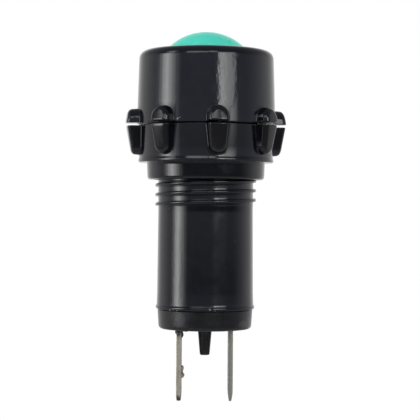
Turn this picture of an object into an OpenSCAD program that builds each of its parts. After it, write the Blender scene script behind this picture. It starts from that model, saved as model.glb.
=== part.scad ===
// Panel pilot light for a round panel hole, with a screw-off lens cap, a lugged
// panel nut and two blade terminals.  Units are millimetres.  The axis is Z and the
// lens points along +Z.  The origin is on the axis at the underside of the screw cap,
// which is where the front face of the panel sits.

/* [Panel thread] */
// Outer diameter of the panel thread
thread_d = 16; // [15.6:0.1:17]
// Distance from one thread turn to the next
thread_pitch = 1.5; // [1:0.25:2]
// Depth of the thread form, from crest to root
thread_depth = 0.48; // [0.3:0.02:0.56]
// Width of the flat on a thread crest
crest_w = 0.4; // [0.2:0.05:0.5]
// Length of thread below the underside of the cap
thread_below = 12.9; // [10:0.1:20]
// Radial running clearance between the thread crests and the bores screwed over them
thread_gap = 0.06; // [0.02:0.01:0.1]

/* [Screw cap] */
// Diameter of the cap at its face
cap_face_d = 21.3; // [20.6:0.1:24]
// Diameter of the cap at its underside
cap_base_d = 21.9; // [20.6:0.1:24.4]
// Height of the cap
cap_h = 11.75; // [10.5:0.05:15]
// Radius of the rounded edge round the cap's face
cap_rim_r = 1.2; // [0.5:0.1:1.5]
// Thickness of the lip that holds the lens in
lip_t = 1.45; // [1:0.05:2]
// Bevel on the edges where cap and nut face the panel
edge_bevel = 0.15; // [0.1:0.05:0.4]

/* [Grip lugs] */
// Number of lugs round the cap and round the nut
lug_count = 8; // [4:1:12]
// Angle of the first lug from the X axis
lug_phase = 9.5; // [0:0.5:45]
// Diameter across the tips of the cap's lugs
lug_d = 25.7; // [24.8:0.1:28]
// Amount by which the nut's lugs stand back from the cap's
lug_setback = 0.15; // [0:0.05:0.5]
// Height of the cap's lugs
cap_lug_h = 2.3; // [2:0.1:4]
// Height of the nut's lugs
nut_lug_h = 4.65; // [2.4:0.05:5]
// Width of a lug where it leaves the wall
lug_root_w = 3.7; // [3.7:0.1:5]
// Width of a lug at its tip
lug_tip_w = 2.4; // [1.6:0.1:2.7]
// Amount by which a lug of the cap narrows over its height
cap_lug_taper = 0.1; // [0:0.1:0.3]
// Amount by which a lug of the nut narrows over its height
nut_lug_taper = 0.8; // [0:0.1:1]
// Lean of the outer face of a lug, in degrees
lug_lean = 10; // [0:1:16]
// Radius of the rounded outer corner of a lug
lug_corner_r = 0.8; // [0.3:0.1:1]
// Radius that arches the free end of a lug of the cap
cap_arch_r = 1.7; // [0.5:0.1:1.7]
// Radius that arches the free end of a lug of the nut
nut_arch_r = 1.3; // [0.5:0.1:1.3]
// Step from the end face of the cap or nut to its lugs
lug_step = 0.13; // [0.05:0.01:0.3]

/* [Lens] */
// Diameter of the dome where it leaves the cap's face
lens_d = 12.94; // [11:0.02:13.2]
// Height of the dome above the cap's face
lens_rise = 2.95; // [2:0.05:5]
// Wall thickness of the lens
lens_wall = 1.1; // [0.8:0.1:1.4]
// Thickness of the flange at the foot of the lens
flange_t = 1; // [0.8:0.1:1.5]
// Outer diameter of the lens flange and its gasket
flange_d = 15.4; // [15:0.1:15.5]
// Clearance round the dome where it passes through the cap
lens_gap = 0.07; // [0.03:0.01:0.1]
// Thickness of the lens gasket
gasket_t = 0.8; // [0.5:0.1:1.2]
// Gap between the gasket and the mouth of the barrel
seat_gap = 0.05; // [0.02:0.01:0.2]

/* [Panel nut] */
// Diameter of the lugged ring of the nut
nut_d = 21.4; // [20.4:0.1:24]
// Height of the lugged ring of the nut
nut_ring_h = 5.85; // [5.2:0.05:8]
// Diameter of the collar below the lugged ring
collar_d = 18.7; // [17.8:0.1:19.4]
// Height of the collar
collar_h = 2.7; // [2:0.1:5]
// Gap left between cap and nut when no panel is fitted
panel_gap = 0.15; // [0.1:0.05:1]
// Outer diameter of the washer let into the top of the nut
washer_d = 18.8; // [18:0.1:19.6]
// Thickness of the washer
washer_t = 0.8; // [0.5:0.1:1.2]
// Clearance round the washer, to the thread and to its seat
washer_gap = 0.12; // [0.05:0.01:0.2]

/* [Barrel] */
// Diameter of the plain barrel below the thread
barrel_d = 15; // [14.5:0.05:15]
// Amount by which the barrel's radius grows towards its foot
barrel_draft = 0.1; // [0:0.02:0.1]
// Distance from the underside of the cap to the foot of the barrel
barrel_below = 29.1; // [28.6:0.1:34]
// Diameter of the bore that holds the lamp
bore_d = 12.6; // [11.6:0.1:13]
// Diameter of the moulding bead at the foot of the barrel
bead_d = 15.65; // [15.5:0.05:15.8]
// Height of the moulding bead
bead_h = 0.7; // [0.4:0.1:1]
// Height over which the foot of the barrel flares out to the bead
flare_h = 2; // [1:0.1:3]

/* [Base plug] */
// Height of the plug below the foot of the barrel
plug_h = 3.1; // [2:0.1:5]
// Amount by which the plug's radius shrinks towards its underside
plug_draft = 0.15; // [0:0.05:0.2]
// Radius of the rounded edge round the plug's underside
plug_edge_r = 0.5; // [0.2:0.1:0.6]
// Height of the spigot that goes up into the barrel
spigot_h = 3.7; // [3:0.1:3.9]
// Clearance of pieces that are pushed into one another
push_gap = 0.05; // [0.02:0.01:0.1]
// Length of the nib under the plug
nib_len = 4.2; // [2:0.1:8]
// Diameter of the nib where it leaves the plug
nib_root_d = 2.2; // [1.8:0.1:3]
// Diameter of the nib at its tip
nib_tip_d = 1.6; // [1:0.1:1.8]

/* [Terminals] */
// Thickness of a blade terminal
tab_t = 0.8; // [0.5:0.05:1]
// Width of a blade terminal
tab_w = 4.8; // [4:0.1:6.3]
// Length of a blade below the plug
tab_len = 11.3; // [8:0.1:14]
// Distance between the middles of the two blades
tab_spacing = 8.1; // [7:0.05:8.6]
// Width of the tang that goes up through the plug
tang_w = 3.4; // [2.5:0.1:3.6]
// Length of the tapered tip of a blade
tip_len = 1.4; // [0.8:0.1:2]
// Thickness of a blade at the end of its tip
tip_t = 0.4; // [0.2:0.05:0.45]
// Diameter of the wire eye in a blade
eye_d = 1.7; // [1:0.1:2]
// Distance from the plug to the middle of the wire eye
eye_drop = 6.6; // [5:0.1:6.8]

/* [Lamp contacts] */
// Thickness of the centre contact strip
strip_t = 0.4; // [0.2:0.05:0.6]
// Width of the centre contact strip
strip_w = 4.4; // [4.2:0.1:4.8]
// Height of the dimple that touches the lamp
dimple_h = 0.5; // [0.3:0.1:0.8]
// Diameter of the dimple where it leaves the strip
dimple_d = 2.8; // [2:0.1:3.4]
// Length by which the strip runs on past the tang that it is staked to
strip_overhang = 0.7; // [0.4:0.1:0.9]
// Thickness of the insulating disc under the lamp socket
disc_t = 0.8; // [0.6:0.1:1.2]
// Sheet thickness of the lamp socket
shell_t = 0.3; // [0.2:0.05:0.4]
// Height of the lamp socket
socket_h = 9; // [6:0.1:10]
// Distance between the two rivets that hold the socket
rivet_spacing = 7; // [6.8:0.1:7.2]
// Diameter of a rivet's shank
rivet_d = 1; // [0.8:0.1:1]
// Height of a rivet's head
rivet_head_h = 0.2; // [0.1:0.05:0.2]

/* [Lamp] */
// Length of the lamp over its glass and its contact
lamp_len = 28; // [24:0.5:29]
// Outer diameter of the lamp's glass
glass_d = 10; // [9.6:0.1:11]
// Wall thickness of the glass
glass_t = 0.5; // [0.3:0.05:0.7]
// Height of the shoulder over which the glass widens above its neck
shoulder_h = 1.2; // [0.8:0.1:2]
// Depth of the glass neck inside the lamp's screw cap
neck_depth = 2; // [1.6:0.1:3]
// Distance from the filament down to the glass bead
bead_drop = 6; // [5:0.5:7]
// Diameter and height of the glass bead
glass_bead_d = 3.6; // [3:0.1:4]
// Outer diameter of the lamp's screw cap
lamp_cap_d = 9.4; // [9.3:0.05:9.6]
// Length of the lamp's screw cap, with no contact
lamp_cap_len = 10.3; // [10:0.1:11]
// Pitch of the lamp's screw thread
lamp_pitch = 1.81; // [1.5:0.01:2]
// Depth of the lamp's screw thread
lamp_thread_depth = 0.45; // [0.3:0.05:0.5]
// Radial play of the lamp in its socket
lamp_gap = 0.12; // [0.05:0.01:0.2]
// Diameter of the wires inside the lamp
lead_d = 0.4; // [0.3:0.05:0.5]
// Distance between the two wires
lead_spacing = 1.4; // [1:0.1:1.8]
// Length of the shorter wire below the foot of the glass
lead_tail = 0.6; // [0.4:0.1:1]
// Diameter of the filament coil
filament_d = 0.3; // [0.2:0.05:0.4]

/* [Hidden] */
$fn = 96;
cut = 1;         // length by which a cutting shape runs past the face that it cuts
fine = 48;       // segments round small pieces

// Panel thread and the bores screwed over it
crest_r = thread_d / 2;
root_r = crest_r - thread_depth;
screwed_bore_r = crest_r + thread_gap;
flank_w = 0.25;

// Heights in the screw cap, from its face down to the mouth of the barrel
cap_rim_z = cap_h - cap_rim_r;
lip_z = cap_h - lip_t;
flange_z = lip_z - flange_t;
gasket_z = flange_z - gasket_t;
mouth_z = gasket_z - seat_gap;

// Dome of the lens
lens_r = lens_d / 2;
dome_r = (lens_r * lens_r + lens_rise * lens_rise) / (2 * lens_rise);
dome_z = cap_h + lens_rise - dome_r;

// Panel nut, from its top down to the foot of its collar
nut_top_z = -panel_gap;
nut_ring_z = nut_top_z - nut_ring_h;
nut_foot_z = nut_ring_z - collar_h;
collar_draft = 0.1;
collar_edge_r = 0.5;

// Barrel and base plug
thread_end_z = -thread_below;
barrel_r = barrel_d / 2;
bore_r = bore_d / 2;
foot_z = -barrel_below;
foot_r = barrel_r + barrel_draft + 0.1;
plug_z = foot_z - plug_h;
spigot_z = foot_z + spigot_h;
spigot_r = bore_r - push_gap;

// Lamp contacts, from the plug upwards
strip_z = spigot_z - strip_t;
disc_z = spigot_z + disc_t;
contact_z = spigot_z + dimple_h;
strip_left_x = -tab_spacing / 2 - tab_t / 2 - strip_overhang;
strip_right_x = 1.6;
disc_hole_r = 2.2;
tab_z = plug_z - tab_len;
eye_z = plug_z - eye_drop;
rivet_shank = 3;

// Lamp, from its contact upwards
tip_h = 0.6;
tip_r = 1.6;
insulator_h = 1;
lamp_cap_r = lamp_cap_d / 2;
lamp_cap_z = contact_z + tip_h + insulator_h;
lamp_rim_z = lamp_cap_z + lamp_cap_len;
lamp_wall = 0.25;
glass_r = glass_d / 2;
neck_r = lamp_cap_r - lamp_thread_depth - lamp_wall - 0.1;
glass_top_z = contact_z + lamp_len;
glass_foot_z = lamp_rim_z - neck_depth;
shoulder_z = lamp_rim_z + shoulder_h;
glass_bead_r = glass_bead_d / 2;
lead_top_z = glass_top_z - glass_r - lead_spacing / 2;
glass_bead_z = lead_top_z - bead_drop;
wave_steps = 8;

// A solid of revolution with a rounded outer corner at its top edge
module rounded_post(foot_radius, top_radius, height, corner) {
    rotate_extrude() {
        polygon([[0, 0], [foot_radius, 0], [top_radius, height - corner], [0, height - corner]]);
        square([top_radius - corner, height]);
        translate([top_radius - corner, height - corner])
            intersection() {
                circle(r = corner, $fn = fine);
                square(corner);
            }
    }
}

// Outline of a lug as seen from outside: drafted sides and an arched free end
module lug_front(height, width, taper, corner) {
    top_w = width - taper;
    polygon([[-width / 2, 0], [width / 2, 0], [top_w / 2, height - corner], [-top_w / 2, height - corner]]);
    translate([-top_w / 2 + corner, 0])
        square([top_w - 2 * corner, height]);
    for (side = [-1, 1])
        translate([side * (top_w / 2 - corner), height - corner])
            circle(r = corner, $fn = fine);
}

// A ring of lugs that stands on the plane z = 0, round a wall of the given radius
module grip_lugs(wall_r, tip_d, height, taper, arch_r) {
    tip_radius = tip_d / 2;
    root_radius = wall_r - cut;
    intersection() {
        rounded_post(tip_radius, tip_radius - (height - lug_corner_r) * tan(lug_lean), height, lug_corner_r);
        for (i = [0 : lug_count - 1])
            rotate([0, 0, lug_phase + i * 360 / lug_count])
                intersection() {
                    linear_extrude(height)
                        polygon([[root_radius - cut, -lug_root_w / 2], [wall_r, -lug_root_w / 2],
                                 [tip_radius, -lug_tip_w / 2], [tip_radius, lug_tip_w / 2],
                                 [wall_r, lug_root_w / 2], [root_radius - cut, lug_root_w / 2]]);
                    rotate([90, 0, 90])
                        linear_extrude(tip_radius + cut)
                            lug_front(height, lug_root_w, taper, arch_r);
                }
    }
}

// Wall of a lamp thread: a sheet of the given thickness rolled into round corrugations
function wave_r(z) = lamp_cap_r - lamp_thread_depth / 2 * (1 - cos(360 * z / lamp_pitch));
function wave_points(from_z, to_z, offset) =
    [for (i = [0 : ceil((to_z - from_z) / lamp_pitch * wave_steps)])
        let (z = min(to_z, from_z + i * lamp_pitch / wave_steps))
            [wave_r(z - lamp_cap_z) + offset, z]];
function reversed(list) = [for (i = [len(list) - 1 : -1 : 0]) list[i]];

module rolled_thread(from_z, to_z, inner_offset, outer_offset) {
    rotate_extrude($fn = fine)
        polygon(concat(wave_points(from_z, to_z, outer_offset),
                       reversed(wave_points(from_z, to_z, inner_offset))));
}

module screw_cap() {
    color([0.13, 0.13, 0.15])
        difference() {
            union() {
                rounded_post(cap_base_d / 2, cap_face_d / 2, cap_h, cap_rim_r);
                translate([0, 0, lug_step])
                    grip_lugs(cap_base_d / 2 - edge_bevel, lug_d, cap_lug_h, cap_lug_taper, cap_arch_r);
            }
            translate([0, 0, -cut])
                cylinder(r = screwed_bore_r, h = lip_z + cut);
            cylinder(r = lens_r + lens_gap, h = cap_h + cut);
            rotate_extrude()
                polygon([[cap_base_d / 2 - edge_bevel, 0], [cap_base_d / 2 + edge_bevel, -edge_bevel],
                         [cap_base_d / 2 + edge_bevel, lug_step], [cap_base_d / 2 - edge_bevel / 2, lug_step]]);
        }
}

module lens() {
    color([0.25, 0.85, 0.76])
        rotate_extrude()
            difference() {
                union() {
                    intersection() {
                        translate([0, dome_z])
                            circle(r = dome_r);
                        translate([0, flange_z])
                            square([lens_r, cap_h]);
                    }
                    translate([0, flange_z])
                        square([flange_d / 2, flange_t]);
                }
                intersection() {
                    translate([0, dome_z])
                        circle(r = dome_r - lens_wall);
                    translate([0, flange_z - cut])
                        square([lens_r - lens_wall, cap_h]);
                }
            }
}

module lens_gasket() {
    color([0.08, 0.08, 0.08])
        translate([0, 0, gasket_z])
            difference() {
                cylinder(r = flange_d / 2, h = gasket_t);
                translate([0, 0, -cut])
                    cylinder(r = bore_r, h = gasket_t + 2 * cut);
            }
}

module mounting_nut() {
    color([0.12, 0.12, 0.14])
        difference() {
            union() {
                translate([0, 0, nut_ring_z])
                    cylinder(d = nut_d, h = nut_ring_h);
                translate([0, 0, nut_top_z - lug_step])
                    mirror([0, 0, 1])
                        grip_lugs(nut_d / 2, lug_d - 2 * lug_setback, nut_lug_h, nut_lug_taper, nut_arch_r);
                translate([0, 0, nut_ring_z])
                    mirror([0, 0, 1])
                        rounded_post(collar_d / 2, collar_d / 2 - collar_draft, collar_h, collar_edge_r);
            }
            translate([0, 0, nut_foot_z - cut])
                cylinder(r = screwed_bore_r, h = nut_ring_h + collar_h + 2 * cut);
            translate([0, 0, nut_top_z - washer_t])
                cylinder(r = washer_d / 2 + washer_gap, h = washer_t + cut);
        }
}

module panel_washer() {
    color([0.72, 0.72, 0.70])
        translate([0, 0, nut_top_z - washer_t])
            difference() {
                cylinder(d = washer_d, h = washer_t);
                translate([0, 0, -cut])
                    cylinder(r = crest_r + washer_gap, h = washer_t + 2 * cut);
            }
}

module housing() {
    turns = floor((mouth_z - thread_end_z - crest_w - flank_w) / thread_pitch);
    first_crest_z = thread_end_z + crest_w / 2 + flank_w;
    color([0.12, 0.12, 0.14])
        difference() {
            rotate_extrude()
                polygon(concat(
                    [[0, foot_z], [foot_r, foot_z], [bead_d / 2, foot_z + bead_h / 3],
                     [bead_d / 2, foot_z + bead_h * 2 / 3], [foot_r, foot_z + bead_h],
                     [barrel_r + barrel_draft, foot_z + bead_h + flare_h], [barrel_r, thread_end_z]],
                    [for (i = [0 : turns - 1])
                        for (corner = [[root_r, -crest_w / 2 - flank_w], [crest_r, -crest_w / 2],
                                       [crest_r, crest_w / 2], [root_r, crest_w / 2 + flank_w]])
                            [corner[0], first_crest_z + i * thread_pitch + corner[1]]],
                    [[root_r, mouth_z], [0, mouth_z]]));
            translate([0, 0, foot_z - cut])
                cylinder(r = bore_r, h = mouth_z - foot_z + 2 * cut);
        }
}

// A slot through the base plug for the tang of one blade
module tang_slot(x, from_z, to_z) {
    translate([x - tab_t / 2 - push_gap, -tang_w / 2 - push_gap, from_z])
        cube([tab_t + 2 * push_gap, tang_w + 2 * push_gap, to_z - from_z]);
}

module rivet_holes(from_z, to_z) {
    for (side = [-1, 1])
        translate([0, side * rivet_spacing / 2, from_z])
            cylinder(d = rivet_d, h = to_z - from_z, $fn = fine);
}

module base_plug() {
    color([0.15, 0.15, 0.16])
        difference() {
            union() {
                translate([0, 0, foot_z])
                    mirror([0, 0, 1])
                        rounded_post(barrel_r, barrel_r - plug_draft, plug_h, plug_edge_r);
                translate([0, 0, foot_z])
                    cylinder(r = spigot_r, h = spigot_h);
                translate([0, 0, plug_z])
                    mirror([0, 0, 1])
                        rounded_post(nib_root_d / 2, nib_tip_d / 2, nib_len, nib_tip_d / 6);
            }
            for (side = [-1, 1])
                tang_slot(side * tab_spacing / 2, plug_z - cut, spigot_z + cut);
            translate([strip_left_x - push_gap, -strip_w / 2 - push_gap, strip_z])
                cube([strip_right_x - strip_left_x + 2 * push_gap, strip_w + 2 * push_gap, strip_t + cut]);
            rivet_holes(disc_z + shell_t - rivet_shank, spigot_z + cut);
        }
}

// A blade with a narrow tang above and a tapered tip below
module blade(x, tang_top_z) {
    translate([x, 0, 0])
        difference() {
            intersection() {
                rotate([90, 0, 90])
                    linear_extrude(tab_t, center = true)
                        polygon([[-tang_w / 2, tang_top_z], [-tang_w / 2, plug_z], [-tab_w / 2, plug_z],
                                 [-tab_w / 2, tab_z + tip_len / 2], [-tab_w / 2 + tip_len / 2, tab_z],
                                 [tab_w / 2 - tip_len / 2, tab_z], [tab_w / 2, tab_z + tip_len / 2],
                                 [tab_w / 2, plug_z], [tang_w / 2, plug_z], [tang_w / 2, tang_top_z]]);
                rotate([90, 0, 0])
                    linear_extrude(tab_w + cut, center = true)
                        polygon([[-tab_t / 2, tang_top_z], [-tab_t / 2, tab_z + tip_len], [-tip_t / 2, tab_z],
                                 [tip_t / 2, tab_z], [tab_t / 2, tab_z + tip_len], [tab_t / 2, tang_top_z]]);
            }
            translate([0, 0, eye_z])
                rotate([0, 90, 0])
                    cylinder(d = eye_d, h = tab_t + cut, center = true, $fn = fine);
        }
}

module terminal_left() {
    color([0.58, 0.57, 0.52])
        blade(-tab_spacing / 2, spigot_z);
}

module terminal_right() {
    color([0.68, 0.68, 0.62])
        blade(tab_spacing / 2, disc_z);
}

module centre_contact() {
    color([0.80, 0.66, 0.35])
        difference() {
            union() {
                translate([strip_left_x, -strip_w / 2, strip_z])
                    cube([strip_right_x - strip_left_x, strip_w, strip_t]);
                translate([0, 0, spigot_z])
                    cylinder(r1 = dimple_d / 2, r2 = dimple_d / 3, h = dimple_h, $fn = fine);
            }
            tang_slot(-tab_spacing / 2, strip_z - cut, spigot_z + cut);
        }
}

module contact_disc() {
    color([0.45, 0.25, 0.15])
        difference() {
            translate([0, 0, spigot_z])
                cylinder(r = spigot_r, h = disc_t);
            translate([0, 0, spigot_z - cut])
                cylinder(r = disc_hole_r, h = disc_t + 2 * cut, $fn = fine);
            tang_slot(tab_spacing / 2, spigot_z - cut, disc_z + cut);
            rivet_holes(spigot_z - cut, disc_z + cut);
        }
}

module socket_shell() {
    color([0.80, 0.66, 0.35]) {
        rolled_thread(disc_z, disc_z + socket_h, lamp_gap, lamp_gap + shell_t);
        translate([0, 0, disc_z])
            difference() {
                cylinder(r = wave_r(disc_z - lamp_cap_z) + lamp_gap + shell_t / 2, h = shell_t);
                translate([0, 0, -cut])
                    cylinder(r = disc_hole_r, h = shell_t + 2 * cut, $fn = fine);
                translate([0, 0, -disc_z])
                    rivet_holes(disc_z - cut, disc_z + shell_t + cut);
            }
    }
}

module shell_rivets() {
    color([0.80, 0.66, 0.35])
        for (side = [-1, 1])
            translate([0, side * rivet_spacing / 2, disc_z + shell_t]) {
                cylinder(d = rivet_d * 1.5, h = rivet_head_h, $fn = fine);
                translate([0, 0, -rivet_shank])
                    cylinder(d = rivet_d, h = rivet_shank, $fn = fine);
            }
}

module bulb_shell() {
    color([0.82, 0.80, 0.74])
        rolled_thread(lamp_cap_z, lamp_rim_z, -lamp_wall, 0);
}

module bulb_glass() {
    color([0.85, 0.92, 0.94, 0.4])
        difference() {
            rotate_extrude() {
                polygon([[0, glass_foot_z], [neck_r, glass_foot_z], [neck_r, lamp_rim_z],
                         [glass_r, shoulder_z], [glass_r, glass_top_z - glass_r],
                         [0, glass_top_z - glass_r]]);
                translate([0, glass_top_z - glass_r])
                    intersection() {
                        circle(r = glass_r);
                        square(glass_r);
                    }
            }
            rotate_extrude() {
                polygon([[0, glass_foot_z + 2 * glass_t], [neck_r - glass_t, glass_foot_z + 2 * glass_t],
                         [neck_r - glass_t, lamp_rim_z + glass_t / 2], [glass_r - glass_t, shoulder_z + glass_t / 2],
                         [glass_r - glass_t, glass_top_z - glass_r], [0, glass_top_z - glass_r]]);
                translate([0, glass_top_z - glass_r])
                    intersection() {
                        circle(r = glass_r - glass_t);
                        square(glass_r);
                    }
            }
            lamp_leads();
        }
}

module bulb_insulator() {
    color([0.05, 0.05, 0.05])
        difference() {
            translate([0, 0, contact_z + tip_h])
                cylinder(r1 = tip_r, r2 = lamp_cap_r - lamp_wall / 2, h = insulator_h, $fn = fine);
            lamp_leads();
        }
}

module bulb_tip() {
    color([0.75, 0.75, 0.76])
        difference() {
            translate([0, 0, contact_z])
                cylinder(r1 = tip_r * 0.6, r2 = tip_r, h = tip_h, $fn = fine);
            lamp_leads();
        }
}

module bulb_bead() {
    color([0.80, 0.88, 0.92, 0.5])
        difference() {
            translate([0, 0, glass_bead_z])
                rotate_extrude($fn = fine)
                    polygon([[0, 0], [glass_bead_r * 0.7, 0], [glass_bead_r, glass_bead_r * 0.5],
                             [glass_bead_r, glass_bead_r * 1.5], [glass_bead_r * 0.7, glass_bead_d],
                             [0, glass_bead_d]]);
            lamp_leads();
        }
}

// The two wires of the lamp.  One runs to the tip, the other ends under the glass foot.
module lamp_leads() {
    for (side = [-1, 1]) {
        lead_foot_z = side < 0 ? contact_z + tip_h / 2 : glass_foot_z - lead_tail;
        translate([side * lead_spacing / 2, 0, lead_foot_z])
            cylinder(d = lead_d, h = lead_top_z - lead_foot_z, $fn = fine);
    }
}

module bulb_leads() {
    color([0.70, 0.68, 0.66])
        lamp_leads();
}

module bulb_filament() {
    color([0.45, 0.45, 0.48])
        translate([0, 0, lead_top_z])
            rotate([90, 0, 0])
                rotate_extrude(angle = 180, $fn = fine)
                    translate([lead_spacing / 2, 0])
                        circle(d = filament_d, $fn = 16);
}

screw_cap();
lens();
lens_gasket();
mounting_nut();
panel_washer();
housing();
base_plug();
terminal_left();
terminal_right();
centre_contact();
contact_disc();
socket_shell();
shell_rivets();
bulb_shell();
bulb_glass();
bulb_insulator();
bulb_tip();
bulb_bead();
bulb_leads();
bulb_filament();
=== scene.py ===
"""Panel pilot light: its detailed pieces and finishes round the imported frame.

The lamp stands on the Z axis with its lens upwards.  The origin is where the underside
of the screw cap meets the panel.  Sizes in the classes are in millimetres, and meshes
are written in metres.  In the profiles, bare steps of half a millimetre or less are small
chamfers, or points set close to an edge to keep its shading crisp.
"""

import logging
import math
from dataclasses import dataclass, field
from enum import Enum
from functools import partial
from typing import Sequence

import bpy
import numpy as np
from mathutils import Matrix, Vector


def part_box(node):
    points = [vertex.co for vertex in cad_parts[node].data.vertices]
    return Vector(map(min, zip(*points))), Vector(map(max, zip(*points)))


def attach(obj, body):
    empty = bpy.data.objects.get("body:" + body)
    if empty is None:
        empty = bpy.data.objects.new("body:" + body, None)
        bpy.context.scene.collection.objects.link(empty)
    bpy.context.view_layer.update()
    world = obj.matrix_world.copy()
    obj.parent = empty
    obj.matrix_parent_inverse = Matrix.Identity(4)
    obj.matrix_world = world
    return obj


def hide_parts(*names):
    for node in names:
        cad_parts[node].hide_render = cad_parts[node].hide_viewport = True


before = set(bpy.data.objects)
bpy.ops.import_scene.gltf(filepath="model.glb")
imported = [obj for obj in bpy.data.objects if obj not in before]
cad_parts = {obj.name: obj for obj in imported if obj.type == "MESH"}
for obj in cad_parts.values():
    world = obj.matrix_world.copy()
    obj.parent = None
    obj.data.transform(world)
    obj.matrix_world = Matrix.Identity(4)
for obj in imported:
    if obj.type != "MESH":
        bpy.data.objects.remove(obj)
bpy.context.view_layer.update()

MM = 0.001
WELD_MM = 1e-5
SHARP_DEG = 34
SPECK_CELL_MM = 0.9
SPECK_REACH = 0.06
CLOUD_ROUGHNESS = 0.55
COLOUR_STOPS = (0.32, 0.68)
FINE_GRAIN = 0.17
FINE_BUMP = 0.3
LEAST_ROUGH = 0.8
MOST_ROUGH = 1.2
PATCH_EDGE = (0.7, 1.1)
PATCH_NOISE_MM = 0.4
ROOM_BLEND = (-0.45, 0.6)
FLOOR_FADE_M = (0.06, 0.17)
LOG = logging.getLogger("pilot_light")

Pair = tuple[float, float]
Point = tuple[float, float, float]
Drop = tuple[Point, Point]
Stops = Sequence[tuple[float, str]]
Node = bpy.types.Node
Socket = bpy.types.NodeSocket
EVEN: Point = (1.0, 1.0, 1.0)
WHITE = (1.0, 1.0, 1.0, 1.0)


class Body(Enum):
    """The moving groups of the frame."""

    ROOT = "root"
    LENS_CARRIER = "lens_carrier"
    CAP = "cap"
    WASHER = "washer"
    NUT = "nut"


# ---------------- nodes and colours


def linear_rgba(hex_colour: str) -> tuple[float, float, float, float]:
    """Turns an sRGB hex colour into the linear values that the shaders take.

    Args:
        hex_colour: Six hex digits after a hash sign.

    Returns:
        Linear red, green, blue, and 1 for alpha.
    """
    channels = [int(hex_colour[i : i + 2], 16) / 255 for i in (1, 3, 5)]
    linear = [c / 12.92 if c <= 0.04045 else ((c + 0.055) / 1.055) ** 2.4 for c in channels]
    return (linear[0], linear[1], linear[2], 1.0)


def per_metre(size_mm: float) -> float:
    """Gives the texture scale at which one pattern cell is about size_mm wide."""
    return 1.0 / (size_mm * MM)


@dataclass
class Graph:
    """The nodes of one material or of the world."""

    owner: bpy.types.Material | bpy.types.World  # the material or the world
    coordinates: str = "Object"  # the output of Texture Coordinate that places the patterns
    place: Socket = field(init=False)  # that output's socket

    def __post_init__(self) -> None:
        """Clears the owner's nodes and adds the coordinates."""
        self.owner.use_nodes = True
        self.owner.node_tree.nodes.clear()
        self.place = self.put("TexCoord").outputs[self.coordinates]

    def feed(self, socket: Socket, value: object) -> None:
        """Links an input to an output, or to a node's first output, or sets its plain value."""
        if isinstance(value, Node):
            value = value.outputs[0]
        if isinstance(value, Socket):
            self.owner.node_tree.links.new(value, socket)
        else:
            socket.default_value = value

    def put(self, kind: str, inputs: dict | None = None, stops: Stops = (), **settings) -> Node:
        """Adds one node, sets its options and feeds its inputs.

        Args:
            kind: Blender's name for the type of node, after "ShaderNode".
            inputs: Socket name or index to what feeds it.
            stops: Position and hex colour of each stop of a colour ramp.
            settings: Attributes of the node.

        Returns:
            The new node.
        """
        node = self.owner.node_tree.nodes.new(f"ShaderNode{kind}")
        for name, value in settings.items():
            setattr(node, name, value)
        for name, value in (inputs or {}).items():
            self.feed(node.inputs[name], value)
        for number, (position, colour) in enumerate(stops):
            elements = node.color_ramp.elements
            element = elements[number] if number < len(elements) else elements.new(position)
            element.position, element.color = position, linear_rgba(colour)
        return node


# ---------------- finishes


@dataclass(frozen=True)
class Patch:
    """A ragged spot where a finish changes, such as a stain, a scuff or a grain of dust."""

    at: Point  # middle of the spot, in millimetres
    reach: Point  # half sizes along X, Y and Z, in millimetres
    colour: str  # its colour, sRGB hex
    strength: float = 0.8  # share of the colour that it takes over
    ragged: float = 0.5  # how far its edge wanders, as a share of its reach

    def mask(self, graph: Graph, wander: Node) -> Node:
        """Adds the nodes that measure the distance from the middle, in units of the reach.

        Args:
            graph: The material's nodes.
            wander: Noise that roughens the edge.

        Returns:
            A factor that falls from the strength in the middle to 0 outside.
        """
        scale = [1.0 / (r * MM) for r in self.reach]
        shift = [-a / r for a, r in zip(self.at, self.reach)]
        local = graph.put("Mapping", {"Vector": graph.place, "Scale": scale, "Location": shift})
        far = graph.put("VectorMath", {0: local}, operation="LENGTH").outputs["Value"]
        rough = graph.put("Math", {0: wander, 1: 2 * self.ragged, 2: far}, operation="MULTIPLY_ADD")
        start, end = (edge + self.ragged for edge in PATCH_EDGE)
        inputs = {"Value": rough, "From Min": start, "From Max": end}
        inputs |= {"To Min": self.strength, "To Max": 0.0}
        return graph.put("MapRange", inputs, interpolation_type="SMOOTHSTEP")


def wall_spot(x: float, z: float, wall_r: float, reach: float, colour: str) -> Patch:
    """Gives a small round patch on the front of a round wall.

    Args:
        x: Place along X, in millimetres.
        z: Height, in millimetres.
        wall_r: Radius of the wall.
        reach: Radius of the patch.
        colour: Its colour, sRGB hex.

    Returns:
        The patch.
    """
    return Patch((x, -math.sqrt(wall_r**2 - x * x), z), (reach, 0.5, reach * 0.8), colour, 0.85)


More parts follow.
